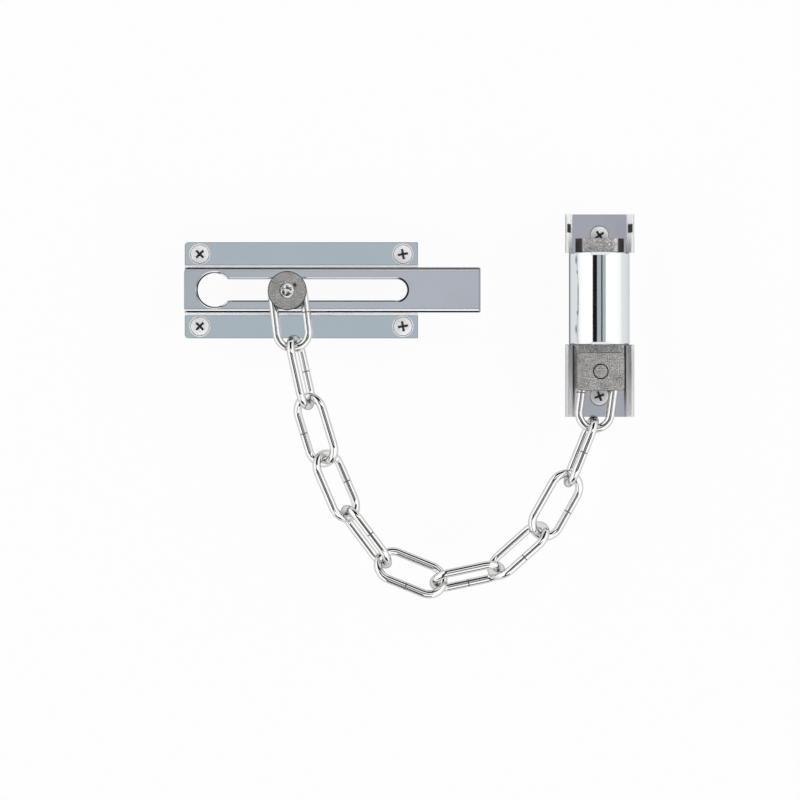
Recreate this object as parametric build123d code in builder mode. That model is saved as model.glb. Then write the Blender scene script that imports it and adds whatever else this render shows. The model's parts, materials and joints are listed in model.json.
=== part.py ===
from build123d import *
from math import radians, sin, tan
import os

# Door security chain: a slotted keeper for the door, a slider that runs in its slot, a chain of
# bent-wire links, and a bracket for the frame whose sleeve holds the chain's anchor strap.
# Millimetres. X runs along the keeper towards the door's edge, Y up the door, Z out of the door.
# The origin is the middle of the keeper's screw flanges, on the door's face.

# Keeper: one folded sheet, two screw flanges and a raised channel that runs on as a nose
keeper_length = 85.0
keeper_width = 35.0
keeper_sheet = 1.2
keeper_fold = 0.1  # inside radius of the channel's top folds
keeper_foot = 1.0  # radius of the folds at the channel's foot
keeper_corner = 1.2  # flange corners at the keyhole's end
keeper_nose_corner = 0.4  # flange corners at the nose
channel_width = 16.4  # over its walls
channel_height = 6.5  # door face to top face
channel_corner = 1.8
nose_length = 22.7
nose_corner = 0.5
keyhole_d = 12.1
keyhole_inset = 11.0  # flange end to the keyhole's centre
keyhole_corner = 1.2
slot_width = 7.6
slot_inset = 7.9  # flange end to the centre of the slot's round end
slot_edge = 0.8  # rolled over by the punch
keeper_screw_end = 5.5  # flange end to a screw's centre
keeper_screw_side = 4.35
keeper_recess_turns = (45.0, 10.0)  # left pair, right pair

# Screws: raised countersunk heads with a cross recess
screw_head_d = 7.0
screw_dome = 0.5
screw_cone = 112.0  # a shallow cone, so that the head ends within the sheet
screw_shank_d = 3.5
screw_length = 16.0
screw_point = 4.0
screw_hole_play = 0.3
screw_seat_play = 0.1
recess_span = 3.8
recess_arm = 0.9
recess_depth = 1.3
recess_taper = 12.0

# Slider and anchor pins: the link turns on a spigot, and the end is peened over a front plate
slider_x = -4.9
slider_y = -0.4  # it hangs low in the slot
slider_head_d = 11.5
slider_head_thick = 2.0
slider_edge = 0.3
run_play = 0.2  # sliding gap of the slider against the channel
slot_play = 0.6  # slider's shoulder to the slot's side, when in its middle
pin_d = 4.4
tenon_d = 3.6
peen_d = 5.6
peen_rise = 0.3
peen_play = 0.05
seat_play = 0.15  # gap on each side of a link between its seat and the front plate
front_thick = 2.0  # slider disc and anchor plate
front_edge = 0.3
disc_d = 14.1

# Chain: links of round wire, butted in one straight side
wire_d = 3.0
link_inner_length = 21.9
link_inner_width = 8.5
link_seam = 0.2
link_play = 0.3  # gap between a link's wire and the wire or pin that it hangs on
# each link's heading in the door's plane, its roll about its own length, and the side of its seam
link_headings = (-83.0, -77.4, -73.0, -66.8, -53.0, -22.0, 12.0, 41.9, 60.7, 68.0, 82.4)
link_rolls = (0.0, -72.0, 37.0, -44.0, 70.0, -28.0, 62.0, -56.0, 26.0, -82.0, 0.0)
link_seam_sides = (1, 1, -1, 1, 1, -1, -1, -1, -1, -1, 1)

# Bracket: one pressed sheet, placed from the anchor pin that the last link hangs on
bracket_sheet = 1.2
bracket_length = 73.8
bracket_width = 25.0
bracket_fold = 1.4
rail_height = 5.0
rail_edge = 0.5
pin_to_bracket_end = 16.5
pin_to_sleeve = 9.8
sleeve_length = 33.5
sleeve_d = 22.2
sleeve_rim = 0.5
low_screw_end = 7.6  # bracket's lower end to a screw's centre
top_screw_end = 7.7
bracket_recess_turns = (20.0, 35.0)  # lower, upper

# Anchor: strap through the sleeve, its pad behind the last link and its plate in front
strap_thick = 2.0
strap_width = 11.6
strap_rim_play = 0.2
pad_width = 17.2
pad_below_pin = 6.0
ear_width = 2.2  # in plan along the sheet's middle, each side of the strap's head
ear_slope = 50.0
ear_fold = 0.6
head_length = 4.9
plate_width = 17.2
plate_height = 13.8
plate_corner = 1.3
post_edge = 0.2
rear_button_d = 6.0
rear_button_thick = 0.8

# Places along the keeper
keyhole_x = keyhole_inset - keeper_length / 2
slot_end_x = keeper_length / 2 - slot_inset
keeper_screw_x = keeper_length - 2 * keeper_screw_end
keeper_screw_y = keeper_width - 2 * keeper_screw_side

# Levels, from the door's face outwards
channel_roof = channel_height - keeper_sheet
slider_head_top = channel_roof - run_play
link_seat = channel_height + run_play
chain_level = link_seat + seat_play + wire_d / 2
front_back = chain_level + wire_d / 2 + seat_play
front_face = front_back + front_thick

# Chain lay: every link starts from the one before it
link_bend = (link_inner_width + wire_d) / 2
half_link = (link_inner_length + wire_d) / 2  # link's centre to its end wire's centre
half_bar = half_link - link_bend
pin_reach = half_link - pin_d / 2 - wire_d / 2 - link_play  # link's centre to its pin
link_axes = [Vector(1, 0, 0).rotate(Axis.Z, heading) for heading in link_headings]
link_centres = [Vector(slider_x, slider_y, chain_level) + link_axes[0] * pin_reach]
link_pivots = [Vector(slider_x, slider_y, chain_level)]
for before in range(len(link_axes) - 1):
    # a link on edge shows its end wire as an upright pin, so its neighbour pulls along itself
    upright = sin(radians(link_rolls[before])) ** 2
    next_upright = sin(radians(link_rolls[before + 1])) ** 2
    pull = link_axes[before + 1] * upright + link_axes[before] * next_upright
    end_wire = link_centres[before] + link_axes[before] * half_link
    next_wire = end_wire - pull.normalized() * (wire_d + link_play)
    share = upright / (upright + next_upright)
    link_pivots.append(end_wire * share + next_wire * (1 - share))
    link_centres.append(next_wire + link_axes[before + 1] * half_link)
anchor_pin = link_centres[-1] + link_axes[-1] * pin_reach
link_pivots.append(anchor_pin)
print("hinge points", [tuple(round(v, 3) for v in pivot) for pivot in link_pivots])

bracket_x = anchor_pin.X
bracket_end_y = anchor_pin.Y - pin_to_bracket_end
bracket_top_y = bracket_end_y + bracket_length
sleeve_y = anchor_pin.Y + pin_to_sleeve
sleeve_top_y = sleeve_y + sleeve_length
low_screw_y = bracket_end_y + low_screw_end
bracket_screw_spacing = bracket_length - low_screw_end - top_screw_end

os.makedirs("parts", exist_ok=True)


# Keeper plate: a top-hat section for the flanges' length, then the channel alone as the nose
wall_y = (channel_width - keeper_sheet) / 2
roof_z = channel_height - keeper_sheet / 2
top_fold = keeper_fold + keeper_sheet / 2
foot_fold = keeper_foot + keeper_sheet / 2
nose_foot = keeper_sheet + keeper_foot
with BuildPart() as keeper_plate:
    with BuildSketch(Plane.YZ.offset(-keeper_length / 2)):
        with BuildLine():
            FilletPolyline(
                (-keeper_width / 2, keeper_sheet / 2),
                (-wall_y, keeper_sheet / 2),
                (-wall_y, roof_z),
                (wall_y, roof_z),
                (wall_y, keeper_sheet / 2),
                (keeper_width / 2, keeper_sheet / 2),
                radius=(foot_fold, top_fold, top_fold, foot_fold),
            )
        trace(line_width=keeper_sheet)
    extrude(amount=keeper_length)
    with BuildSketch(Plane.YZ.offset(keeper_length / 2)):
        with BuildLine():
            FilletPolyline(
                (-wall_y, nose_foot),
                (-wall_y, roof_z),
                (wall_y, roof_z),
                (wall_y, nose_foot),
                radius=top_fold,
            )
        trace(line_width=keeper_sheet)
    extrude(amount=nose_length)
    with BuildSketch(Plane.XY.offset(channel_height)) as slot_outline:
        with Locations((keyhole_x, 0)):
            Circle(keyhole_d / 2)
        with Locations(((keyhole_x + slot_end_x) / 2, 0)):
            SlotCenterToCenter(slot_end_x - keyhole_x, slot_width)
        fillet(slot_outline.vertices().group_by(Axis.X)[0], keyhole_corner)
    extrude(amount=-2 * keeper_sheet, mode=Mode.SUBTRACT)
    slot_rim = keeper_plate.edges(Select.LAST).group_by(Axis.Z)[-1]
    fillet(slot_rim, slot_edge)
    with Locations((0, 0, keeper_sheet)):
        with GridLocations(keeper_screw_x, keeper_screw_y, 2, 2):
            CounterSinkHole(
                radius=screw_shank_d / 2 + screw_hole_play,
                counter_sink_radius=screw_head_d / 2 + screw_seat_play,
                counter_sink_angle=screw_cone,
            )
    upright_edges = keeper_plate.edges().filter_by(Axis.Z)
    fillet(upright_edges.group_by(SortBy.DISTANCE)[-1], nose_corner)
    for end, corner in ((0, keeper_corner), (-1, keeper_nose_corner)):
        flange_edges = keeper_plate.edges().filter_by(Axis.Z).filter_by(
            lambda edge: abs(abs(edge.center().Y) - keeper_width / 2) < keeper_sheet
        )
        fillet(flange_edges.group_by(Axis.X)[end], corner)
    with BuildSketch(Plane.XY.offset(nose_foot)):
        for side, outwards in ((-1, Align.MAX), (1, Align.MIN)):
            corner_y = side * (channel_width / 2 - channel_corner)
            with Locations((channel_corner - keeper_length / 2, corner_y)):
                Rectangle(2 * channel_corner, 2 * channel_corner, align=(Align.MAX, outwards))
                Circle(channel_corner, mode=Mode.SUBTRACT)
    extrude(amount=channel_height, mode=Mode.SUBTRACT)
keeper_plate.part.label = "keeper_plate"
export_step(keeper_plate.part, "parts/keeper_plate.step")


# Screw: turned head and shank with a pressed cross recess, head rim at Z 0
head_cone = (screw_head_d - screw_shank_d) / 2 / tan(radians(screw_cone / 2))
with BuildPart() as screw:
    with BuildSketch(Plane.XZ):
        with BuildLine():
            Polyline(
                (0, screw_dome),
                (0, -screw_length),
                (screw_shank_d / 2, screw_point - screw_length),
                (screw_shank_d / 2, -head_cone),
                (screw_head_d / 2, 0),
            )
            dome_radius = ((screw_head_d / 2) ** 2 + screw_dome**2) / (2 * screw_dome)
            RadiusArc((screw_head_d / 2, 0), (0, screw_dome), -dome_radius)
        make_face()
    revolve(axis=Axis.Z)
    with BuildSketch(Plane.XY.offset(screw_dome)):
        Rectangle(recess_span, recess_arm)
        Rectangle(recess_arm, recess_span)
    extrude(amount=-recess_depth, taper=recess_taper, mode=Mode.SUBTRACT)

with BuildPart() as keeper_screws:
    for side, turn in zip((-1, 1), keeper_recess_turns):
        for level in (-1, 1):
            place = (side * keeper_screw_x / 2, level * keeper_screw_y / 2, keeper_sheet)
            with Locations(Location(place, (0, 0, turn))):
                add(screw.part)
keeper_screws.part.label = "keeper_screws"
export_step(keeper_screws.part, "parts/keeper_screws.step")


# Slider stud: turned, with its head in the channel, its shoulder in the slot and its peened end
shoulder_d = slot_width - 2 * slot_play
peen_depth = (peen_d - tenon_d) / 2
slider_head_back = slider_head_top - slider_head_thick
with BuildPart() as slider_stud:
    with BuildSketch(Plane((slider_x, slider_y, 0), x_dir=(1, 0, 0), z_dir=(0, -1, 0))):
        with BuildLine():
            Polyline(
                (0, front_face + peen_rise),
                (0, slider_head_back),
                (slider_head_d / 2 - slider_edge, slider_head_back),
                (slider_head_d / 2, slider_head_back + slider_edge),
                (slider_head_d / 2, slider_head_top),
                (shoulder_d / 2, slider_head_top),
                (shoulder_d / 2, link_seat),
                (pin_d / 2, link_seat),
                (pin_d / 2, front_back),
                (tenon_d / 2, front_back),
                (tenon_d / 2, front_face - peen_depth),
                (peen_d / 2, front_face),
            )
            peen_radius = ((peen_d / 2) ** 2 + peen_rise**2) / (2 * peen_rise)
            RadiusArc((peen_d / 2, front_face), (0, front_face + peen_rise), -peen_radius)
        make_face()
    revolve(axis=Axis((slider_x, slider_y, 0), (0, 0, 1)))
slider_stud.part.label = "slider_stud"
export_step(slider_stud.part, "parts/slider_stud.step")


# Slider disc: turned front washer, countersunk for the stud's peened end
with BuildPart() as slider_disc:
    with BuildSketch(Plane((slider_x, slider_y, front_back))):
        Circle(disc_d / 2)
    extrude(amount=front_thick)
    fillet(slider_disc.edges().filter_by(GeomType.CIRCLE).sort_by(Axis.Z)[-1], front_edge)
    with Locations((slider_x, slider_y, front_face)):
        CounterSinkHole(
            radius=tenon_d / 2 + peen_play,
            counter_sink_radius=peen_d / 2 + peen_play,
            counter_sink_angle=90,
        )
slider_disc.part.label = "slider_disc"
export_step(slider_disc.part, "parts/slider_disc.step")


# Chain links: wire bent round both ends, with its two cut ends meeting in one straight side
for number, centre in enumerate(link_centres, start=1):
    axis = link_axes[number - 1]
    across = Vector(0, 0, 1).rotate(Axis((0, 0, 0), axis), link_rolls[number - 1])
    flat = Plane(centre, x_dir=axis, z_dir=across)
    seam_y = link_bend * link_seam_sides[number - 1]
    with BuildPart() as chain_link:
        with BuildLine(flat) as wire_line:
            Line((link_seam / 2, seam_y), (half_bar, seam_y))
            ThreePointArc((half_bar, seam_y), (half_link, 0), (half_bar, -seam_y))
            Line((half_bar, -seam_y), (-half_bar, -seam_y))
            ThreePointArc((-half_bar, -seam_y), (-half_link, 0), (-half_bar, seam_y))
            Line((-half_bar, seam_y), (-link_seam / 2, seam_y))
        with BuildSketch(Plane(wire_line.line @ 0, z_dir=wire_line.line % 0)):
            Circle(wire_d / 2)
        sweep(path=wire_line.line)
    chain_link.part.label = f"chain_link_{number:02d}"
    export_step(chain_link.part, f"parts/chain_link_{number:02d}.step")


# Bracket plate: flat ends with upturned rails, and the half-round sleeve between them
rail_x = (bracket_width - bracket_sheet) / 2
with BuildPart() as bracket_plate:
    with BuildSketch(Plane((bracket_x, sleeve_y, 0), x_dir=(-1, 0, 0), z_dir=(0, 1, 0))):
        Circle(sleeve_d / 2)
        Circle(sleeve_d / 2 - bracket_sheet, mode=Mode.SUBTRACT)
        Rectangle(sleeve_d - bracket_sheet, bracket_sheet, align=(Align.CENTER, Align.MIN))
        Rectangle(sleeve_d, sleeve_d, align=(Align.CENTER, Align.MAX), mode=Mode.SUBTRACT)
    extrude(amount=sleeve_length)
    rims = bracket_plate.edges().filter_by(GeomType.CIRCLE).filter_by(
        lambda edge: abs(edge.radius - sleeve_d / 2) < bracket_sheet / 2
    )
    fillet(rims, sleeve_rim)
    for start_y, end_y in ((bracket_end_y, sleeve_y), (sleeve_top_y, bracket_top_y)):
        with BuildSketch(Plane((bracket_x, start_y, 0), x_dir=(-1, 0, 0), z_dir=(0, 1, 0))):
            with BuildLine():
                FilletPolyline(
                    (-rail_x, rail_height),
                    (-rail_x, bracket_sheet / 2),
                    (rail_x, bracket_sheet / 2),
                    (rail_x, rail_height),
                    radius=bracket_fold + bracket_sheet / 2,
                )
            trace(line_width=bracket_sheet)
        extrude(amount=end_y - start_y)
    rail_tops = bracket_plate.edges().filter_by(Axis.Y).filter_by_position(
        Axis.Z, rail_height - rail_edge, rail_height + rail_edge
    )
    fillet(rail_tops, rail_edge)
    with Locations((bracket_x, low_screw_y + bracket_screw_spacing / 2, bracket_sheet)):
        with GridLocations(0, bracket_screw_spacing, 1, 2):
            CounterSinkHole(
                radius=screw_shank_d / 2 + screw_hole_play,
                counter_sink_radius=screw_head_d / 2 + screw_seat_play,
                counter_sink_angle=screw_cone,
            )
bracket_plate.part.label = "bracket_plate"
export_step(bracket_plate.part, "parts/bracket_plate.step")

with BuildPart() as bracket_screws:
    for row, turn in enumerate(bracket_recess_turns):
        place = (bracket_x, low_screw_y + row * bracket_screw_spacing, bracket_sheet)
        with Locations(Location(place, (0, 0, turn))):
            add(screw.part)
bracket_screws.part.label = "bracket_screws"
export_step(bracket_screws.part, "parts/bracket_screws.step")


# Anchor strap: pad behind the last link, neck through the sleeve, head with set-back ears
pad_top_y = sleeve_y - strap_rim_play
head_y = sleeve_top_y + strap_rim_play
head_top_y = head_y + head_length
strap_back = link_seat - strap_thick
strap_middle = link_seat - strap_thick / 2
ear_x = strap_width / 2 + ear_width
ear_drop = ear_width * tan(radians(ear_slope))
pad_height = pad_top_y - anchor_pin.Y + pad_below_pin
with BuildPart() as anchor_strap:
    with BuildSketch(Plane.XY.offset(strap_back)):
        with Locations((bracket_x, pad_top_y)):
            Rectangle(pad_width, pad_height, align=(Align.CENTER, Align.MAX))
            Rectangle(strap_width, head_y - pad_top_y, align=(Align.CENTER, Align.MIN))
    extrude(amount=strap_thick)
    with BuildSketch(Plane((bracket_x, head_y, strap_middle), x_dir=(-1, 0, 0), z_dir=(0, 1, 0))):
        with BuildLine():
            FilletPolyline(
                (-ear_x, -ear_drop),
                (-strap_width / 2, 0),
                (strap_width / 2, 0),
                (ear_x, -ear_drop),
                radius=ear_fold + strap_thick / 2,
            )
        trace(line_width=strap_thick)
    extrude(amount=head_length)
    with Locations((bracket_x, anchor_pin.Y, link_seat)):
        Hole(tenon_d / 2 + peen_play)
anchor_strap.part.label = "anchor_strap"
export_step(anchor_strap.part, "parts/anchor_strap.step")


# Anchor post: riveted behind the pad and peened over the plate in front
with BuildPart() as anchor_post:
    with BuildSketch(Plane((bracket_x, anchor_pin.Y, 0), x_dir=(1, 0, 0), z_dir=(0, -1, 0))):
        with BuildLine():
            Polyline(
                (0, front_face),
                (0, strap_back - rear_button_thick),
                (rear_button_d / 2, strap_back - rear_button_thick),
                (rear_button_d / 2, strap_back),
                (tenon_d / 2, strap_back),
                (tenon_d / 2, link_seat),
                (pin_d / 2, link_seat),
                (pin_d / 2, front_back),
                (tenon_d / 2, front_back),
                (tenon_d / 2, front_face - peen_depth),
                (peen_d / 2 - post_edge, front_face - post_edge),
                (peen_d / 2 - 2 * post_edge, front_face),
                close=True,
            )
        make_face()
    revolve(axis=Axis((bracket_x, anchor_pin.Y, 0), (0, 0, 1)))
anchor_post.part.label = "anchor_post"
export_step(anchor_post.part, "parts/anchor_post.step")


# Anchor plate: square front plate with rounded corners, countersunk for the post
with BuildPart() as anchor_plate:
    with BuildSketch(Plane((bracket_x, anchor_pin.Y, front_back))):
        RectangleRounded(plate_width, plate_height, plate_corner)
    extrude(amount=front_thick)
    fillet(anchor_plate.faces().sort_by(Axis.Z)[-1].edges(), front_edge)
    with Locations((bracket_x, anchor_pin.Y, front_face)):
        CounterSinkHole(
            radius=tenon_d / 2 + peen_play,
            counter_sink_radius=peen_d / 2 + peen_play,
            counter_sink_angle=90,
        )
anchor_plate.part.label = "anchor_plate"
export_step(anchor_plate.part, "parts/anchor_plate.step")
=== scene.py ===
import bpy
import json
import math
import numpy
from mathutils import Matrix, Vector, noise


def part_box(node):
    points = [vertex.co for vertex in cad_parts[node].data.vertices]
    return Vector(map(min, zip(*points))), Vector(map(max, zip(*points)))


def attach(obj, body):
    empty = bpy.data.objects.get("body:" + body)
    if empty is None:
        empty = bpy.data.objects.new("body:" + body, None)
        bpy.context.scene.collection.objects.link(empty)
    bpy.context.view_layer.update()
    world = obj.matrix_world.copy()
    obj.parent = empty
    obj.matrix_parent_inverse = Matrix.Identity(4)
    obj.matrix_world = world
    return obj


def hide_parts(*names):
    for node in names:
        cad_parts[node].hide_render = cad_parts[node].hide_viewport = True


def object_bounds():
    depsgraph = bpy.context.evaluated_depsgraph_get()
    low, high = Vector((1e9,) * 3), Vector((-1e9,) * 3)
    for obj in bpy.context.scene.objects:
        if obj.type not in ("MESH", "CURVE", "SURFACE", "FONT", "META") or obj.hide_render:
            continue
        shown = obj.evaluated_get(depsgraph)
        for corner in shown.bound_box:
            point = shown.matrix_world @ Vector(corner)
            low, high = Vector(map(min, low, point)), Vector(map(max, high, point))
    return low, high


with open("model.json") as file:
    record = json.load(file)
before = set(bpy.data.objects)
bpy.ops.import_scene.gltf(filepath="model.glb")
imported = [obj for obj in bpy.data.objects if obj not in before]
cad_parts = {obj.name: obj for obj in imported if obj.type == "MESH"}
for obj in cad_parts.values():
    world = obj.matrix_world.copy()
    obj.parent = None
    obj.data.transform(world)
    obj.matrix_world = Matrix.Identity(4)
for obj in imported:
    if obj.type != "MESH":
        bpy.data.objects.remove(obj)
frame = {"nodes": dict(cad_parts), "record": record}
cad_low, cad_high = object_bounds()

# Keeper plate: one strip of mild steel, blanked, folded to a top-hat section and chrome plated.
# The plating mirrors the room. The channel's feet are dull, with painted highlight, and painted shade
# lines follow its folds, feet, cut edges and punched rims, with painted highlight rings round the screws.
# Four countersunk screws hold its flanges to the door.
MM = 0.001
CHROME_COOL = (0.71, 0.77, 0.81, 1.0)
CHROME_WARM = (0.76, 0.79, 0.83, 1.0)
CHANNEL_COOL = (0.71, 0.73, 0.76, 1.0)  # the channel is greyer than the flanges
CHANNEL_WARM = (0.80, 0.78, 0.83, 1.0)
WARM_END = 0.4  # it turns warm from its left end to this share of its right half
CHROME_ROUGH = (0.05, 0.11)  # bright and hazy patches
CHROME_EDGE = (0.72, 0.75, 0.78, 1.0)
PATCH_PER_M = 55.0
WAVE_PER_M = 140.0
WAVE_DEPTH = 0.012 * MM
# pale dull patches with painted highlight: near-white stands in for the white the chrome mirrors
HIGHLIGHT_HAZE = ((0.94, 0.95, 0.95, 1.0), (0.99, 0.99, 0.99, 1.0))
HAZE_STREAK = (0.2, 0.2, 1.0)  # drawn out along the sheet
HAZE_ROUGH = 0.42
HAZE_METAL = 0.0
# painted shade: the dark lines on folds, feet and punched rims, and dark marks, stand in for shade and dark
# reflections
PAINTED_SHADE = (0.015, 0.015, 0.015, 1.0)
# painted shade along the cut edges
EDGE_SHADE = (0.30, 0.32, 0.34, 1.0)
RAISED_Z = (4.0 * MM, 4.5 * MM)  # the channel's faces lie above
FOOT_Z = (2.5 * MM, 3.0 * MM)  # the feet and flanges lie below
CREASE = (7.8 * MM, 8.25 * MM)  # from the keeper's middle line; painted shade along the top fold
CREASE_Z = (5.2 * MM, 5.3 * MM)  # on the fold alone, not down the wall
CREASE_SOFT = 0.06 * MM
FOOT_OUTER = 9.3 * MM
# the width of the painted shade line along the foot's outer edge
FOOT_LINE = 0.14 * MM
FOOT_LINE_SOFT = 0.05 * MM
FOOT_LINE_SHARE = 0.6
KEYHOLE = (-31.5 * MM, 6.05 * MM)  # centre along the keeper, radius
KEYHOLE_RIM = (-0.1 * MM, 0.5 * MM)  # the painted shade line, from the hole's edge
KEYHOLE_FADE = (-3.0 * MM, 1.0 * MM)  # where it fades, from the hole's centre
SLOT_END = (34.6 * MM, 3.8 * MM)  # centre along the keeper, radius
SLOT_RIM = (0.2 * MM, 0.85 * MM)  # the painted shade line, from the slot's edge
SLOT_LOWER = (-4.3 * MM, -3.85 * MM)
SLOT_FADE = 1.5 * MM
RIM_SOFT = 0.1 * MM
EDGE_LINE = (-0.22 * MM, -0.132 * MM)  # the painted shade line along the cut edges, from the edge
NOSE_LINE = (-0.75 * MM, -0.45 * MM)
LIP = (3.45 * MM, 3.85 * MM)  # a ring of painted highlight round each screw, from its axis


def new_finish(name):
    """A material, its node tree and its shader."""
    material = bpy.data.materials.new(name)
    material.use_nodes = True
    return material, material.node_tree, material.node_tree.nodes["Principled BSDF"]


def put(tree, kind, sockets=None, **options):
    """Adds a node; a socket is given a value, or another node's output to take it from."""
    node = tree.nodes.new(kind)
    for option, value in options.items():
        setattr(node, option, value)
    for socket, value in (sockets or {}).items():
        if isinstance(value, bpy.types.NodeSocket):
            tree.links.new(value, node.inputs[socket])
        else:
            node.inputs[socket].default_value = value
    return node


def place_on(tree):
    """The piece's own X, Y and Z."""
    place = put(tree, "ShaderNodeTexCoord")
    return put(tree, "ShaderNodeSeparateXYZ", {0: place.outputs["Object"]}).outputs


def mottle(tree, per_m, detail=2.0, stretch=(1.0, 1.0, 1.0)):
    """Soft noise fixed to the piece, so many patches to the metre."""
    place = put(tree, "ShaderNodeTexCoord")
    spread = put(tree, "ShaderNodeMapping", {"Vector": place.outputs["Object"], "Scale": stretch})
    sockets = {"Vector": spread.outputs[0], "Scale": per_m, "Detail": detail}
    return put(tree, "ShaderNodeTexNoise", sockets).outputs["Fac"]


def between(tree, share, under, over):
    """One colour over another by a share; each is a colour or a node's output."""
    sockets = {"Factor": share, 6: under, 7: over}  # a Mix node's two colours
    return put(tree, "ShaderNodeMix", sockets, data_type="RGBA").outputs[2]


def ranged(tree, amount, low, high, start=0.3, stop=0.7):
    """An amount spread over a range of values; noise mostly lies between 0.3 and 0.7."""
    sockets = {0: amount, 1: start, 2: stop, 3: low, 4: high}
    return put(tree, "ShaderNodeMapRange", sockets).outputs[0]


def both(tree, one, other, operation="MULTIPLY"):
    """Two amounts in one, their product unless another sum is named."""
    return put(tree, "ShaderNodeMath", {0: one, 1: other}, operation=operation).outputs[0]


def either(tree, one, other):
    """The greater of two amounts."""
    return both(tree, one, other, "MAXIMUM")


def unsigned(tree, amount):
    """An amount without its sign."""
    return put(tree, "ShaderNodeMath", {0: amount}, operation="ABSOLUTE").outputs[0]


def off(edge, reach):
    """Two limits that are given from an edge."""
    return edge + reach[0], edge + reach[1]


def band(tree, amount, start, stop, soft):
    """1 from start to stop, with soft ends, and 0 outside."""
    rise = ranged(tree, amount, 0.0, 1.0, start - soft / 2, start + soft / 2)
    fall = ranged(tree, amount, 1.0, 0.0, stop - soft / 2, stop + soft / 2)
    return both(tree, rise, fall)


def ring_away(tree, along, aside, x, y=0.0):
    """Distance from an upright axis of the place that two outputs give."""
    flat = put(tree, "ShaderNodeCombineXYZ", {0: along, 1: aside})
    sockets = {0: flat.outputs[0], 1: (x, y, 0.0)}
    return put(tree, "ShaderNodeVectorMath", sockets, operation="DISTANCE").outputs["Value"]


def relief(tree, shader, height, depth):
    """Height as fine relief of so many metres."""
    bump = put(tree, "ShaderNodeBump", {"Strength": 1.0, "Distance": depth, "Height": height})
    tree.links.new(bump.outputs[0], shader.inputs["Normal"])


def plated(tree, shader, tone, haze_highlight, rough, shade_spots=None):
    """Chrome of one tone, pale and dull with painted highlight over a share of it and with dark marks of
    painted shade, on the shader's sockets.
    """
    streaks = mottle(tree, WAVE_PER_M, stretch=HAZE_STREAK)
    tone = between(tree, haze_highlight, tone, between(tree, streaks, *HIGHLIGHT_HAZE))
    if shade_spots is not None:
        tone = between(tree, shade_spots, tone, PAINTED_SHADE)
    tree.links.new(tone, shader.inputs["Base Color"])
    tree.links.new(ranged(tree, haze_highlight, 1.0, HAZE_METAL, 0.0, 1.0), shader.inputs["Metallic"])
    tree.links.new(both(tree, both(tree, haze_highlight, HAZE_ROUGH), rough, "ADD"), shader.inputs["Roughness"])
    shader.inputs["Specular Tint"].default_value = CHROME_EDGE
    relief(tree, shader, mottle(tree, WAVE_PER_M, detail=1.0), WAVE_DEPTH)


keeper_chrome, tree, shader = new_finish("keeper_chrome")
keeper_low, keeper_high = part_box("keeper_plate")
at = place_on(tree)
along, aside = unsigned(tree, at["X"]), unsigned(tree, at["Y"])
raised = ranged(tree, at["Z"], 0.0, 1.0, *RAISED_Z)
low = ranged(tree, at["Z"], 1.0, 0.0, *FOOT_Z)

patches = mottle(tree, PATCH_PER_M)
flange_tone = between(tree, patches, CHROME_COOL, CHROME_WARM)
warmth = ranged(tree, at["X"], 0.0, 1.0, keeper_low.x, WARM_END * keeper_high.x)
tone = between(tree, raised, flange_tone, between(tree, warmth, CHANNEL_COOL, CHANNEL_WARM))

# Painted shade: dark lines round the keyhole, round the slot's end and along the slot's lower side
keyhole_away = ring_away(tree, at["X"], aside, KEYHOLE[0])
keyhole_line = band(tree, keyhole_away, *off(KEYHOLE[1], KEYHOLE_RIM), RIM_SOFT)
left_half = ranged(tree, at["X"], 1.0, 0.0, *off(KEYHOLE[0], KEYHOLE_FADE))
slot_away = ring_away(tree, at["X"], aside, SLOT_END[0])
slot_line = band(tree, slot_away, *off(SLOT_END[1], SLOT_RIM), RIM_SOFT)
right_half = ranged(tree, at["X"], 0.0, 1.0, SLOT_END[0], SLOT_END[0] + SLOT_FADE)
slot_run = band(tree, at["X"], KEYHOLE[0] + KEYHOLE[1], SLOT_END[0], SLOT_FADE)
lower_line = both(tree, band(tree, at["Y"], *SLOT_LOWER, RIM_SOFT), slot_run)
rims = either(tree, both(tree, keyhole_line, left_half), both(tree, slot_line, right_half))
rims = both(tree, either(tree, rims, lower_line), raised)
# painted shade along the top folds
crease = both(tree, band(tree, aside, *CREASE, CREASE_SOFT), ranged(tree, at["Z"], 0.0, 1.0, *CREASE_Z))
# painted shade line along the feet's outer edge
foot_shade_line = both(tree, band(tree, aside, FOOT_OUTER - FOOT_LINE, FOOT_OUTER, FOOT_LINE_SOFT), low)
foot_shade_line = both(tree, foot_shade_line, FOOT_LINE_SHARE)
tone = between(tree, either(tree, either(tree, rims, crease), foot_shade_line), tone, PAINTED_SHADE)

# painted shade lines along the sides, the flanges' ends and the nose's end
sides = ranged(tree, aside, 0.0, 1.0, *off(keeper_high.y, EDGE_LINE))
on_flange = ranged(tree, aside, 0.0, 1.0, FOOT_OUTER, FOOT_OUTER + RIM_SOFT)
flange_ends = both(tree, ranged(tree, along, 0.0, 1.0, *off(-keeper_low.x, EDGE_LINE)), on_flange)
nose_end = ranged(tree, at["X"], 0.0, 1.0, *off(keeper_high.x, NOSE_LINE))
tone = between(tree, either(tree, either(tree, sides, flange_ends), nose_end), tone, EDGE_SHADE)

keeper_mount, bracket_mount = frame["record"]["mounts"]
hole_x = keeper_mount["dims"]["spacing_x_mm"] / 2 * MM
hole_y = keeper_mount["dims"]["spacing_y_mm"] / 2 * MM
# painted highlight: pale rings round the screws and pale feet
lips = band(tree, ring_away(tree, along, aside, hole_x, hole_y), *LIP, RIM_SOFT)
feet = both(tree, band(tree, aside, CREASE[1], FOOT_OUTER - FOOT_LINE, CREASE_SOFT), low)
plated(tree, shader, tone, either(tree, feet, lips), ranged(tree, patches, *CHROME_ROUGH))
frame["nodes"]["keeper_plate"].data.materials[0] = keeper_chrome
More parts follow.
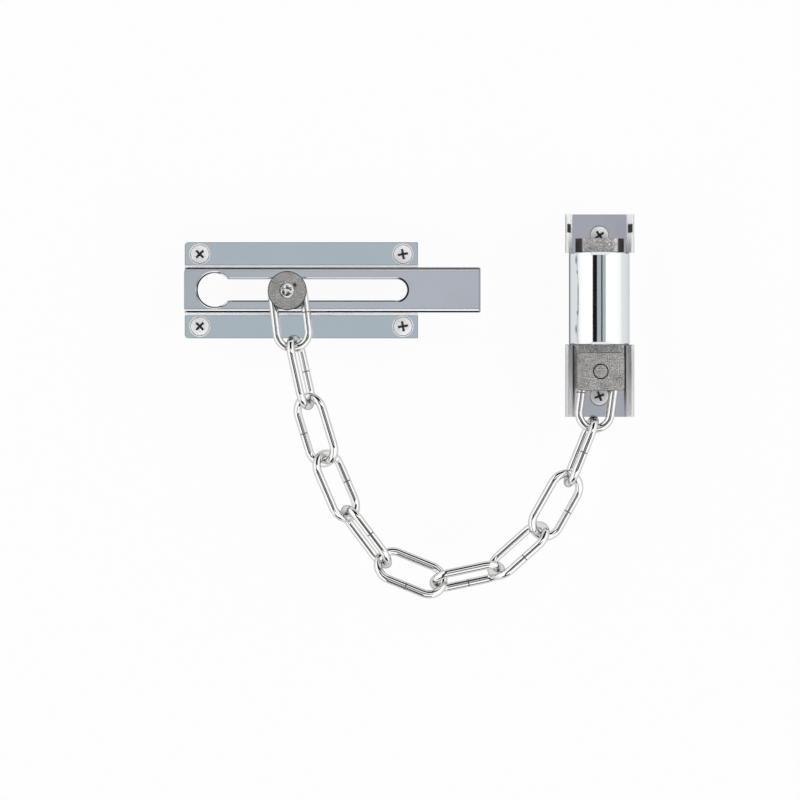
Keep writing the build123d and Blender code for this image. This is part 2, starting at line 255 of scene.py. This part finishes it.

# Screws: zinc-plated wood screws with raised countersunk heads, cold headed, rolled and cross punched.
# Four hold the keeper to the door and two the bracket to the frame. The recess and the seat round the
# head carry painted shade, and the head is paler than the shank.
SHEET = 1.2 * MM  # the plates' thickness, level with the heads' rims
HEAD_R = 3.5 * MM
HEAD_DOME = 0.5 * MM
HEAD_CONE = math.radians(112.0)
HEAD_UNDER = ((-0.1 * MM, -0.07 * MM), (0.0, -0.02 * MM))  # the rounded rim from below, out and up
HEAD_RINGS = 8
SEAT_LINE = 0.94  # painted shade on the head outside this share of it, at its seat
SHANK_R = 1.75 * MM
ROOT_R = 1.2 * MM
SCREW_LENGTH = 16.0 * MM
POINT_LENGTH = 4.0 * MM
THREAD_PITCH = 1.5 * MM
THREAD_CREST = 0.22  # share of the pitch on each side of the crest
RECESS_SPAN = 1.9 * MM
RECESS_ARM = 0.45 * MM
RECESS_DEPTH = 1.3 * MM
RECESS_TAPER = math.tan(math.radians(12.0))
PUNCH_OVER = 0.4 * MM  # the punch starts above the head
PUNCH_TIP = 0.25 * MM
SCREW_SIDES = 48
ROWS_PER_PITCH = 12
SHARP_TURN = math.radians(38.0)
KEEPER_TURNS = (45.0, 10.0)  # left pair, right pair
BRACKET_TURNS = (20.0, 35.0)  # lower, upper
ZINC = ((0.99, 0.99, 0.99, 1.0), (0.90, 0.90, 0.92, 1.0))
SHANK = ((0.66, 0.66, 0.68, 1.0), (0.50, 0.50, 0.52, 1.0))
HEAD_Z = (1.05 * MM, 1.15 * MM)  # the head lies above, the shank below
HEAD_METAL = 0.3
ZINC_ROUGH = (0.34, 0.5)
ZINC_PER_M = 900.0
ZINC_RELIEF = 0.01 * MM
# painted shade in the recess, on the head's seat and in the links' butt grooves
RECESS_SHADE = ((0.05, 0.05, 0.055, 1.0), (0.34, 0.33, 0.33, 1.0))
RECESS_SHADE_METAL = 0.6
RECESS_ROUGH = (0.35, 0.6)


def rolled_radius(height, turn):
    """Radius of the threaded shank at a height below the head and a turn round the screw."""
    point = min(1.0, (height + SCREW_LENGTH) / POINT_LENGTH)
    phase = (height / THREAD_PITCH - turn / math.tau) % 1.0
    crest = max(0.0, 1.0 - abs(phase - 0.5) / THREAD_CREST)
    return point * (ROOT_R + (SHANK_R - ROOT_R) * crest)


def screw_blank():
    """The headed and rolled blank, its head's rim at height 0."""
    neck = -(HEAD_R - SHANK_R) / math.tan(HEAD_CONE / 2)
    thread_top = neck - (SHANK_R - ROOT_R)
    rows_down = round((SCREW_LENGTH + thread_top) / THREAD_PITCH * ROWS_PER_PITCH)
    dome_r = (HEAD_R**2 + HEAD_DOME**2) / (2 * HEAD_DOME)
    points = [(0.0, 0.0, -SCREW_LENGTH)]
    for row in range(1, rows_down + 1):
        height = -SCREW_LENGTH + (thread_top + SCREW_LENGTH) * row / rows_down
        for side in range(SCREW_SIDES):
            turn = math.tau * side / SCREW_SIDES
            radius = rolled_radius(height, turn)
            points.append((radius * math.cos(turn), radius * math.sin(turn), height))
    rings = [(SHANK_R, neck)] + [(HEAD_R + out, up) for out, up in HEAD_UNDER]
    seat_row = rows_down + len(rings)
    for share in [1.0, SEAT_LINE] + [1 - ring / HEAD_RINGS for ring in range(1, HEAD_RINGS)]:
        radius = HEAD_R * share
        rings.append((radius, math.sqrt(dome_r**2 - radius**2) - dome_r + HEAD_DOME))
    for radius, height in rings:
        for side in range(SCREW_SIDES):
            turn = math.tau * side / SCREW_SIDES
            points.append((radius * math.cos(turn), radius * math.sin(turn), height))
    points.append((0.0, 0.0, HEAD_DOME))
    faces = []
    shaded_faces = []
    all_rows = rows_down + len(rings)
    for side in range(SCREW_SIDES):
        after = (side + 1) % SCREW_SIDES
        faces.append((0, 1 + after, 1 + side))
        for row in range(all_rows - 1):
            low = 1 + row * SCREW_SIDES
            high = low + SCREW_SIDES
            # the seat ring takes the painted shade
            if row == seat_row:
                shaded_faces.append(len(faces))
            faces.append((low + side, low + after, high + after, high + side))
        top = 1 + (all_rows - 1) * SCREW_SIDES
        faces.append((top + side, top + after, len(points) - 1))
    blank = bpy.data.meshes.new("screw_blank")
    blank.from_pydata(points, [], faces)
    for face in shaded_faces:
        blank.polygons[face].material_index = 1
    return blank


def cross_punch():
    """The tapered cross that the heading punch leaves, from above the head down to its floor."""
    points = []
    for height in (HEAD_DOME + PUNCH_OVER, HEAD_DOME - RECESS_DEPTH):
        drawn_in = (HEAD_DOME - height) * RECESS_TAPER
        span = RECESS_SPAN - drawn_in
        arm = RECESS_ARM - drawn_in
        corner = ((span, -arm), (span, arm), (arm, arm))
        for quarter in range(4):
            turned = Matrix.Rotation(math.radians(90.0 * quarter), 2)
            points += [(*(turned @ Vector(place)), height) for place in corner]
    points.append((0.0, 0.0, HEAD_DOME - RECESS_DEPTH - PUNCH_TIP))
    count = (len(points) - 1) // 2
    faces = [tuple(range(count))]
    for side in range(count):
        after = (side + 1) % count
        faces.append((side, count + side, count + after, after))
        faces.append((count + side, 2 * count, count + after))
    punch = bpy.data.meshes.new("cross_punch")
    punch.from_pydata(points, [], faces)
    return punch


zinc_plate, tree, shader = new_finish("zinc_plate")
head = ranged(tree, place_on(tree)["Z"], 0.0, 1.0, *HEAD_Z)
tree.links.new(ranged(tree, head, 1.0, HEAD_METAL, 0.0, 1.0), shader.inputs["Metallic"])
grain = mottle(tree, ZINC_PER_M, detail=4.0)
tone = between(tree, head, between(tree, grain, *SHANK), between(tree, grain, *ZINC))
tree.links.new(tone, shader.inputs["Base Color"])
tree.links.new(ranged(tree, grain, *ZINC_ROUGH), shader.inputs["Roughness"])
relief(tree, shader, grain, ZINC_RELIEF)

# Painted shade for the recess, the head's seat and the links' butt grooves.
painted_recess_shade, tree, shader = new_finish("painted_recess_shade")
shader.inputs["Metallic"].default_value = RECESS_SHADE_METAL
film = mottle(tree, ZINC_PER_M)
tree.links.new(between(tree, film, *RECESS_SHADE), shader.inputs["Base Color"])
tree.links.new(ranged(tree, film, *RECESS_ROUGH), shader.inputs["Roughness"])

blank_mesh, punch_mesh = screw_blank(), cross_punch()
blank_mesh.materials.append(zinc_plate)
blank_mesh.materials.append(painted_recess_shade)
punch_mesh.materials.append(painted_recess_shade)
blank_object = bpy.data.objects.new("screw_blank", blank_mesh)
punch_object = bpy.data.objects.new("cross_punch", punch_mesh)
for tool in (blank_object, punch_object):
    bpy.context.scene.collection.objects.link(tool)
cut = blank_object.modifiers.new("recess", "BOOLEAN")
cut.object = punch_object
cut.operation = "DIFFERENCE"
cut.solver = "EXACT"
cut.material_mode = "TRANSFER"
screw_mesh = bpy.data.meshes.new_from_object(
    blank_object.evaluated_get(bpy.context.evaluated_depsgraph_get())
)
for tool in (blank_object, punch_object):
    bpy.data.objects.remove(tool)
screw_mesh.shade_smooth()
screw_mesh.set_sharp_from_angle(angle=SHARP_TURN)

screw_places = []
for side, turn in zip((-1, 1), KEEPER_TURNS):
    for level in (-1, 1):
        spot = Vector((side * hole_x, level * hole_y, SHEET))
        screw_places.append(("keeper", "keeper_screws", spot, turn))
for level, turn in zip((-1, 1), BRACKET_TURNS):
    spot = Vector(bracket_mount["pos_m"])
    spot += Vector((0, level * bracket_mount["dims"]["pcd_mm"] / 2 * MM, SHEET))
    screw_places.append(("bracket", "bracket_screws", spot, turn))
for number, (body, node, spot, turn) in enumerate(screw_places, start=1):
    turned = screw_mesh.copy()
    turned.transform(Matrix.Translation(spot) @ Matrix.Rotation(math.radians(turn), 4, "Z"))
    threaded_screw = bpy.data.objects.new(f"threaded_screw_{number}", turned)
    bpy.context.scene.collection.objects.link(threaded_screw)
    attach(threaded_screw, body)
    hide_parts(node)

# Slider: a turned steel stud whose head runs inside the channel, with a satin washer riveted on in
# front. The washer is tumbled, grey and finely grained, and the stud's end is hammered over it.
# One dark nick stands beside the rivet.
DISC_SATIN = ((0.24, 0.233, 0.224, 1.0), (0.78, 0.765, 0.74, 1.0))
SATIN_ROUGH = (0.36, 0.55)
SATIN_GRAIN_PER_M = 2500.0
SATIN_CLOUD_PER_M = 260.0
SATIN_CLOUDS = 0.25  # the clouds' part beside the grain
SATIN_SPREAD = (-0.16, 0.16)  # the grain's reach from one tone to the other
SATIN_RELIEF = 0.035 * MM
SATIN_SHADE = (0.06, 0.055, 0.05, 1.0)  # painted shade on the bends and the disc's rim
SATIN_BEND = (0.22, 0.88)  # how far up the face of a bend looks
SATIN_BEND_SOFT = 0.2
DISC_RIM = (-0.4 * MM, -0.2 * MM)  # from the disc's edge
NICK = (0.05, 0.045, 0.04, 1.0)
NICK_AT = (2.7 * MM, 2.0 * MM)  # from the disc's middle
NICK_R = (0.2875 * MM, 1.15 * MM)  # dark inside the first, gone at the second
STUD = ((0.42, 0.42, 0.41, 1.0), (0.62, 0.62, 0.60, 1.0))
STUD_ROUGH = (0.18, 0.3)
STUD_LINES_PER_M = 900.0
STUD_STRETCH = (0.1, 0.1, 1.0)  # lines round the stud
STUD_RELIEF = 0.01 * MM
# dark painted shade and pale painted highlight on the hammered end
PEEN = ((0.05, 0.05, 0.05, 1.0), (0.99, 0.99, 0.98, 1.0))
PEEN_METAL = 0.35
PEEN_ROUGH = (0.5, 0.25)
PEEN_CRACKS = (0.5, 0.57)  # noise below is a crack with painted shade, above it metal with painted highlight
PEEN_CRACKS_PER_M = 850.0
PEEN_RELIEF = 0.1 * MM
PEEN_EDGE = (2.05 * MM, 2.42 * MM)  # the burr, with painted highlight, stands inside a line of painted shade
PEEN_LINE_SOFT = 0.05 * MM
PEEN_R = 2.75 * MM
PEEN_LUMP = 0.13 * MM
PEEN_LUMPS_PER_M = 1100.0
PEEN_LIFT = 0.03 * MM  # clear of the stud's own end
PEEN_RINGS = 14
PEEN_SIDES = 64


def satin_finish(name, tones, disc=None):
    """Tumbled steel: fine grain over soft clouds, painted shade on bends; a disc has painted shade on its
    rim, and a nick.
    """
    material, tree, shader = new_finish(name)
    shader.inputs["Metallic"].default_value = 1.0
    fine = mottle(tree, SATIN_GRAIN_PER_M)
    clouds = mottle(tree, SATIN_CLOUD_PER_M, detail=3.0)
    grain = both(tree, fine, both(tree, clouds, SATIN_CLOUDS), "ADD")
    spread = off((1.0 + SATIN_CLOUDS) / 2, SATIN_SPREAD)
    tone = between(tree, ranged(tree, grain, 0.0, 1.0, *spread), *tones)
    # painted shade on faces that tilt away from straight up, the bends
    place = put(tree, "ShaderNodeTexCoord")
    facing = put(tree, "ShaderNodeSeparateXYZ", {0: place.outputs["Normal"]}).outputs["Z"]
    tone = between(tree, band(tree, facing, *SATIN_BEND, SATIN_BEND_SOFT), tone, SATIN_SHADE)
    if disc is not None:
        middle, radius = disc
        at = place_on(tree)
        out = ring_away(tree, at["X"], at["Y"], middle.x, middle.y)
        # painted shade on the disc's rim
        tone = between(tree, ranged(tree, out, 0.0, 1.0, *off(radius, DISC_RIM)), tone, SATIN_SHADE)
        away = ring_away(tree, at["X"], at["Y"], middle.x + NICK_AT[0], middle.y + NICK_AT[1])
        tone = between(tree, ranged(tree, away, 1.0, 0.0, *NICK_R), tone, NICK)
    tree.links.new(tone, shader.inputs["Base Color"])
    tree.links.new(ranged(tree, fine, *SATIN_ROUGH), shader.inputs["Roughness"])
    relief(tree, shader, fine, SATIN_RELIEF)
    return material


disc_low, disc_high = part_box("slider_disc")
disc_middle = (disc_low + disc_high) / 2
disc_plan = (disc_middle, disc_high.x - disc_middle.x)
frame["nodes"]["slider_disc"].data.materials[0] = satin_finish("slider_satin", DISC_SATIN, disc_plan)

turned_steel, tree, shader = new_finish("turned_steel")
shader.inputs["Metallic"].default_value = 1.0
lines = mottle(tree, STUD_LINES_PER_M, stretch=STUD_STRETCH)
tree.links.new(between(tree, lines, *STUD), shader.inputs["Base Color"])
tree.links.new(ranged(tree, lines, *STUD_ROUGH), shader.inputs["Roughness"])
relief(tree, shader, lines, STUD_RELIEF)
frame["nodes"]["slider_stud"].data.materials[0] = turned_steel

hammered_steel, tree, shader = new_finish("hammered_steel")
shader.inputs["Metallic"].default_value = PEEN_METAL
hammered = mottle(tree, PEEN_CRACKS_PER_M, detail=3.0)
at = place_on(tree)
out = ring_away(tree, at["X"], at["Y"], disc_middle.x, disc_middle.y)
# painted shade in the cracks and round the edge, painted highlight on the burr and lumps
tone = between(tree, ranged(tree, hammered, 0.0, 1.0, *PEEN_CRACKS), *PEEN)
tone = between(tree, band(tree, out, *PEEN_EDGE, RIM_SOFT), tone, PEEN[1])
rim_shade_line = ranged(tree, out, 0.0, 1.0, PEEN_EDGE[1], PEEN_EDGE[1] + PEEN_LINE_SOFT)
tone = between(tree, rim_shade_line, tone, PEEN[0])
tree.links.new(tone, shader.inputs["Base Color"])
tree.links.new(ranged(tree, hammered, *PEEN_ROUGH), shader.inputs["Roughness"])
relief(tree, shader, hammered, PEEN_RELIEF)

stud_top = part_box("slider_stud")[1].z
points = [(disc_middle.x, disc_middle.y, stud_top + PEEN_LIFT)]
for ring in range(1, PEEN_RINGS + 1):
    share = ring / PEEN_RINGS
    for side in range(PEEN_SIDES):
        turn = math.tau * side / PEEN_SIDES
        x = disc_middle.x + PEEN_R * share * math.cos(turn)
        y = disc_middle.y + PEEN_R * share * math.sin(turn)
        dome = disc_high.z + (stud_top - disc_high.z) * (1 - share**2)
        dent = noise.noise(Vector((x, y, 0.0)) * PEEN_LUMPS_PER_M) * PEEN_LUMP * (1 - share**4)
        points.append((x, y, dome + max(dent, 0.0) + PEEN_LIFT * (1 - share)))
faces = []
for side in range(PEEN_SIDES):
    after = (side + 1) % PEEN_SIDES
    faces.append((0, 1 + side, 1 + after))
    for ring in range(PEEN_RINGS - 1):
        inner = 1 + ring * PEEN_SIDES
        outer = inner + PEEN_SIDES
        faces.append((inner + side, outer + side, outer + after, inner + after))
peen_mesh = bpy.data.meshes.new("hammered_rivet")
peen_mesh.from_pydata(points, [], faces)
peen_mesh.shade_smooth()
peen_mesh.materials.append(hammered_steel)
hammered_rivet = bpy.data.objects.new("hammered_rivet", peen_mesh)
bpy.context.scene.collection.objects.link(hammered_rivet)
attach(hammered_rivet, "slider")

# Chain links: 3 mm bright steel wire, cut, bent round a former and butted in one straight side, then
# barrel plated. The wire is duller in small patches, and the butt is a shallow groove with painted shade in
# it.
# Each link hangs in the one before it, with no weld.
LINKS = 11
WIRE_R = 1.49 * MM
BEND_R = 5.75 * MM
HALF_BAR = 6.7 * MM
BUTT_R = 1.36 * MM
BUTT = ((-0.22 * MM, WIRE_R), (-0.1 * MM, BUTT_R), (0.1 * MM, BUTT_R), (0.22 * MM, WIRE_R))  # along, radius
BEND_STEPS = 28
WIRE_SIDES = 40
CUT_REACH = 0.3 * MM  # only the two cut ends have points this near to a link's middle
LINK_BRIGHT = (0.79, 0.79, 0.78, 1.0)
LINK_DULL = (0.66, 0.655, 0.64, 1.0)
LINK_EDGE = (0.42, 0.42, 0.43, 1.0)
LINK_ROUGH = (0.04, 0.1)
LINK_PER_M = 420.0
LINK_RELIEF = 0.012 * MM
plated_wire, tree, shader = new_finish("plated_wire")
shader.inputs["Metallic"].default_value = 1.0
shader.inputs["Specular Tint"].default_value = LINK_EDGE
rubbed = mottle(tree, LINK_PER_M, detail=3.0)
tree.links.new(between(tree, rubbed, LINK_BRIGHT, LINK_DULL), shader.inputs["Base Color"])
tree.links.new(ranged(tree, rubbed, *LINK_ROUGH), shader.inputs["Roughness"])
relief(tree, shader, rubbed, LINK_RELIEF)


def bent_wire():
    """Rings of the wire from the butt round: place along and across, outward direction, radius."""
    rings = [(along, BEND_R, math.radians(90.0), radius) for along, radius in BUTT]
    for end in (1, -1):
        for step in range(BEND_STEPS + 1):
            turn = math.radians(90.0 * end - 180.0 * step / BEND_STEPS)
            along = end * HALF_BAR + BEND_R * math.cos(turn)
            rings.append((along, BEND_R * math.sin(turn), turn, WIRE_R))
    return rings


wire_rings = bent_wire()
wire_faces = []
for ring in range(len(wire_rings)):
    this, after = ring * WIRE_SIDES, (ring + 1) % len(wire_rings) * WIRE_SIDES
    for side in range(WIRE_SIDES):
        beside = (side + 1) % WIRE_SIDES
        wire_faces.append((this + side, this + beside, after + beside, after + side))
for number in range(1, LINKS + 1):
    node = frame["nodes"][f"chain_link_{number:02d}"]
    places = numpy.array([vertex.co for vertex in node.data.vertices])
    middle = (places.min(axis=0) + places.max(axis=0)) / 2
    offsets = places - middle
    lengthwise = numpy.linalg.eigh(offsets.T @ offsets)[1][:, 2]
    butt = offsets[numpy.abs(offsets @ lengthwise) < CUT_REACH].mean(axis=0)
    lengthwise, butt = Vector(lengthwise), Vector(butt)
    crosswise = (butt - butt.dot(lengthwise) * lengthwise).normalized()
    upward = lengthwise.cross(crosswise)
    points, outward = [], []
    for along, across, turn, radius in wire_rings:
        centre = Vector(middle) + along * lengthwise + across * crosswise
        out = math.cos(turn) * lengthwise + math.sin(turn) * crosswise
        for side in range(WIRE_SIDES):
            around = math.tau * side / WIRE_SIDES
            outward.append(math.cos(around) * out + math.sin(around) * upward)
            points.append(centre + radius * outward[-1])
    link_mesh = bpy.data.meshes.new(f"bent_link_{number:02d}")
    link_mesh.from_pydata(points, [], wire_faces)
    link_mesh.materials.append(plated_wire)
    link_mesh.materials.append(painted_recess_shade)
    # painted shade in the butt's groove
    for face in range((len(BUTT) - 1) * WIRE_SIDES):
        link_mesh.polygons[face].material_index = 1
    link_mesh.shade_smooth()
    link_mesh.normals_split_custom_set_from_vertices(outward)
    bent_link = bpy.data.objects.new(f"bent_link_{number:02d}", link_mesh)
    bpy.context.scene.collection.objects.link(bent_link)
    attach(bent_link, f"link_{number:02d}")
    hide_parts(f"chain_link_{number:02d}")

# Bracket plate: one pressed sheet with upturned rails and a half-round sleeve, plated as the keeper
# is. The rails are dull, with painted highlight over them and painted shade lines along their feet and
# outer edges. The sleeve has painted highlight at its ends and a painted shade line down its left
# side, and each upper rail a mark of painted shade. It is screwed to the frame through its two flat ends.
FLAT_COOL = (0.68, 0.655, 0.70, 1.0)  # the flat ends are darker than the sleeve
FLAT_WARM = (0.72, 0.68, 0.73, 1.0)
FLAT_Z = (1.3 * MM, 1.6 * MM)  # the flat ends lie below
SLEEVE_COOL = (0.73, 0.75, 0.76, 1.0)
SLEEVE_WARM = (0.76, 0.78, 0.79, 1.0)
SLEEVE_FOOT = (2.6 * MM, 2.8 * MM)  # the sleeve's lower end, from the anchor plate's upper edge
SLEEVE_HEAD = (-5.2 * MM, -5.0 * MM)  # its upper end, from the strap's upper edge
LOWER_LIP = (3.6 * MM, 3.9 * MM)  # a painted highlight lip at each end of the sleeve, from the same edges
UPPER_LIP = (-6.3 * MM, -6.0 * MM)
SLEEVE_TOP = (3.1 * MM, 3.6 * MM)  # the lips end here, from the bracket's middle line
SLEEVE_EDGE = (-10.8 * MM, -10.6 * MM)  # a painted shade line along the sleeve's left side
RAIL_FOOT = (9.0 * MM, 9.75 * MM)  # from the bracket's middle line
RAIL_FOOT_SOFT = 0.12 * MM
FOOT_FADE = (-9.0 * MM, 1.0 * MM)  # the foot's painted shade line fades downwards, from the anchor plate's lower edge
FOOT_SHARES = (0.15, 0.95)
RAIL_SOFT = 0.2 * MM
RAIL_EDGE = (-0.32 * MM, -0.224 * MM)  # the painted shade line, from the rails' outer side
RAIL_EDGE_SHARE = 0.6
SPOT_ASIDE = (10.4 * MM, 11.9 * MM)  # a mark of painted shade on each upper rail
SPOT_UP = (20.9 * MM, 24.1 * MM)
SPOT_UP_SOFT = 0.3 * MM
pressed_chrome, tree, shader = new_finish("pressed_chrome")
bracket_low, bracket_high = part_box("bracket_plate")
pad_low, pad_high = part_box("anchor_plate")
strap_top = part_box("anchor_strap")[1].y
at = place_on(tree)
off_middle = both(tree, at["X"], (bracket_low.x + bracket_high.x) / 2, "SUBTRACT")
aside = unsigned(tree, off_middle)
below_sleeve = ranged(tree, at["Y"], 1.0, 0.0, *off(pad_high.y, SLEEVE_FOOT))
above_sleeve = ranged(tree, at["Y"], 0.0, 1.0, *off(strap_top, SLEEVE_HEAD))
beside_sleeve = either(tree, below_sleeve, above_sleeve)
on_sleeve = both(tree, 1.0, beside_sleeve, "SUBTRACT")

patches = mottle(tree, PATCH_PER_M)
low = ranged(tree, at["Z"], 1.0, 0.0, *FLAT_Z)
tone = between(tree, patches, SLEEVE_COOL, SLEEVE_WARM)
tone = between(tree, low, tone, between(tree, patches, FLAT_COOL, FLAT_WARM))
# painted shade line along the rails' feet beside the anchor plate
by_plate = ranged(tree, at["Y"], *FOOT_SHARES, *off(pad_low.y, FOOT_FADE))
foot_shade_line = both(tree, band(tree, aside, *RAIL_FOOT, RAIL_FOOT_SOFT), both(tree, by_plate, below_sleeve))
tone = between(tree, foot_shade_line, tone, PAINTED_SHADE)
# painted shade line down the sleeve's left side
left_edge_shade = both(tree, ranged(tree, off_middle, 1.0, 0.0, *SLEEVE_EDGE), on_sleeve)
tone = between(tree, left_edge_shade, tone, PAINTED_SHADE)

# painted highlight: pale, dull rails, and lips at the sleeve's ends
rail = both(tree, ranged(tree, aside, 0.0, 1.0, RAIL_FOOT[1], RAIL_FOOT[1] + RAIL_SOFT), beside_sleeve)
lips = either(tree, ranged(tree, at["Y"], 1.0, 0.0, *off(pad_high.y, LOWER_LIP)),
              ranged(tree, at["Y"], 0.0, 1.0, *off(strap_top, UPPER_LIP)))
lips = both(tree, both(tree, lips, on_sleeve), ranged(tree, aside, 1.0, 0.0, *SLEEVE_TOP))
# painted shade marks on the upper rails and along the rails' outer edges
spot = both(tree, band(tree, aside, *SPOT_ASIDE, RAIL_SOFT), band(tree, at["Y"], *SPOT_UP, SPOT_UP_SOFT))
rail_side = (bracket_high.x - bracket_low.x) / 2
rail_edge = ranged(tree, aside, 0.0, RAIL_EDGE_SHARE, *off(rail_side, RAIL_EDGE))
spot = either(tree, spot, both(tree, rail_edge, beside_sleeve))
plated(tree, shader, tone, either(tree, rail, lips), ranged(tree, patches, *CHROME_ROUGH), spot)
frame["nodes"]["bracket_plate"].data.materials[0] = pressed_chrome

# Anchor: a satin strap through the sleeve, held by its ears, with a square plate riveted in front of
# the last link. The pieces are blanked from cold-rolled strip and tumbled, with no plating. The strap
# is the paler of them.
ANCHOR_SATIN = ((0.17, 0.164, 0.158, 1.0), (0.88, 0.86, 0.83, 1.0))
STRAP_SATIN = ((0.30, 0.29, 0.28, 1.0), (0.98, 0.96, 0.93, 1.0))
# satin_finish puts painted shade on the bends, and so on the strap's sloped ears
anchor_satin = satin_finish("anchor_satin", ANCHOR_SATIN)
for name in ("anchor_plate", "anchor_post"):
    frame["nodes"][name].data.materials[0] = anchor_satin
frame["nodes"]["anchor_strap"].data.materials[0] = satin_finish("strap_satin", STRAP_SATIN)

# Floor: a white sheet that the screws' points stand on. It gives back mostly its own light, so it
# stays white, and a part of the room's, so it keeps the soft shadow.
WHITE = (1.0, 1.0, 1.0, 1.0)
FLOOR_HALF = 3.0
FLOOR_WHITE = (0.97, 0.97, 0.97, 1.0)
FLOOR_SHADOW_SHARE = 0.08
FLOOR_GAP = 0.1 * MM
floor_z = cad_low.z - FLOOR_GAP
floor_mesh = bpy.data.meshes.new("floor")
corners = [(x * FLOOR_HALF, y * FLOOR_HALF, floor_z) for x, y in ((-1, -1), (1, -1), (1, 1), (-1, 1))]
floor_mesh.from_pydata(corners, [], [(0, 1, 2, 3)])
floor = bpy.data.objects.new("floor", floor_mesh)
bpy.context.scene.collection.objects.link(floor)
white_sheet, tree, shader = new_finish("white_sheet")
tree.nodes.remove(shader)
matt = put(tree, "ShaderNodeBsdfDiffuse", {"Color": FLOOR_WHITE})
lit = put(tree, "ShaderNodeEmission", {"Color": WHITE, "Strength": 1.0})
rays = put(tree, "ShaderNodeLightPath").outputs
seen = either(tree, either(tree, rays["Is Camera Ray"], rays["Is Glossy Ray"]), rays["Is Transmission Ray"])
share = both(tree, seen, 1.0 - FLOOR_SHADOW_SHARE)
sheet = put(tree, "ShaderNodeMixShader", {0: share, 1: matt.outputs[0], 2: lit.outputs[0]})
tree.links.new(sheet.outputs[0], tree.nodes["Material Output"].inputs["Surface"])
floor_mesh.materials.append(white_sheet)

# Studio: a white tent all round. A grey-blue panel hangs overhead, where the camera looks through,
# with a long black flag past its left side, a black pole across it and black wings above and below it.
# Dark cloth hangs at the tent's upper end and a narrower one at its lower end.
TENT = (1.37, 1.37, 1.37, 1.0)
TENT_FOOT = (1.14, 1.14, 1.14, 1.0)  # the cloth fades towards the floor
TENT_FADE = 0.4
PANEL = (0.53, 0.58, 0.61, 1.0)
FLAG = (0.012, 0.012, 0.015, 1.0)
POLE = (0.02, 0.02, 0.025, 1.0)
CLOTH = (0.015, 0.015, 0.02, 1.0)
PANEL_SIDES = (-10.6, 22.0)  # degrees from straight up, left and right
PANEL_ENDS = (-3.0, 5.0)  # the same, below and above
FLAG_SIDES = (-28.0, -10.6)
FLAG_ENDS = (-62.0, 42.0)
POLE_SIDES = (4.4, 9.4)
UPPER_WING = (5.0, 17.0)
LOWER_WING = (-14.0, -3.0)
WING_SIDES = (-36.0, 32.0)
UPPER_CLOTH = (38.0, 84.0)
LOWER_CLOTH = (-86.0, -58.0)
CLOTH_SIDES = (-24.0, 24.0)
SOFTEN = 1.4
world = bpy.data.worlds.new("tent")
bpy.context.scene.world = world
world.use_nodes = True
tree = world.node_tree
sky = put(tree, "ShaderNodeTexCoord")
parts = put(tree, "ShaderNodeSeparateXYZ", {0: sky.outputs["Generated"]}).outputs
side = both(tree, parts["X"], parts["Z"], "ARCTAN2")
fore = both(tree, parts["Y"], parts["Z"], "ARCTAN2")
lean = put(tree, "ShaderNodeMath", {0: parts["X"]}, operation="ARCSINE").outputs[0]


def past(angle, limit):
    """1 past a limit in degrees, softly, and 0 before it."""
    return ranged(tree, angle, 0.0, 1.0, math.radians(limit - SOFTEN / 2), math.radians(limit + SOFTEN / 2))


def within(angle, low, high):
    """1 between two limits."""
    return both(tree, past(angle, low), past(angle, high), "SUBTRACT")


def hang(under, where, across, colour):
    """A cloth of one colour over what hangs there already."""
    return between(tree, both(tree, where, across), under, colour)


overhead = within(fore, *PANEL_ENDS)
in_line = within(lean, *CLOTH_SIDES)
tent = between(tree, ranged(tree, parts["Z"], 0.0, 1.0, 0.0, TENT_FADE), TENT_FOOT, TENT)
for cloth in (UPPER_CLOTH, LOWER_CLOTH):
    tent = hang(tent, within(fore, *cloth), in_line, CLOTH)
for wing in (UPPER_WING, LOWER_WING):
    tent = hang(tent, within(fore, *wing), within(side, *WING_SIDES), FLAG)
tent = hang(tent, within(side, *PANEL_SIDES), overhead, PANEL)
tent = hang(tent, within(side, *POLE_SIDES), overhead, POLE)
tent = hang(tent, within(side, *FLAG_SIDES), within(fore, *FLAG_ENDS), FLAG)
rays = put(tree, "ShaderNodeLightPath").outputs
backdrop = between(tree, rays["Is Camera Ray"], tent, WHITE)
tree.links.new(backdrop, tree.nodes["Background"].inputs["Color"])

# Camera: straight above, far back on a long lens, with the door's up direction at the top.
# It looks at the middle of the square picture, which takes in the keeper, the chain and the bracket.
CAMERA_OVER = Vector((35.94, -40.0, 0.0)) * MM
CAMERA_AWAY = 1.5
FRAME_WIDTH = 291.8 * MM
SENSOR = 36.0
camera_data = bpy.data.cameras.new("camera")
camera_data.sensor_width = SENSOR
camera_data.lens = SENSOR * CAMERA_AWAY / FRAME_WIDTH
camera = bpy.data.objects.new("camera", camera_data)
camera.location = CAMERA_OVER + Vector((0, 0, CAMERA_AWAY))
bpy.context.scene.collection.objects.link(camera)
bpy.context.scene.camera = camera
bpy.context.scene.view_settings.view_transform = "Standard"
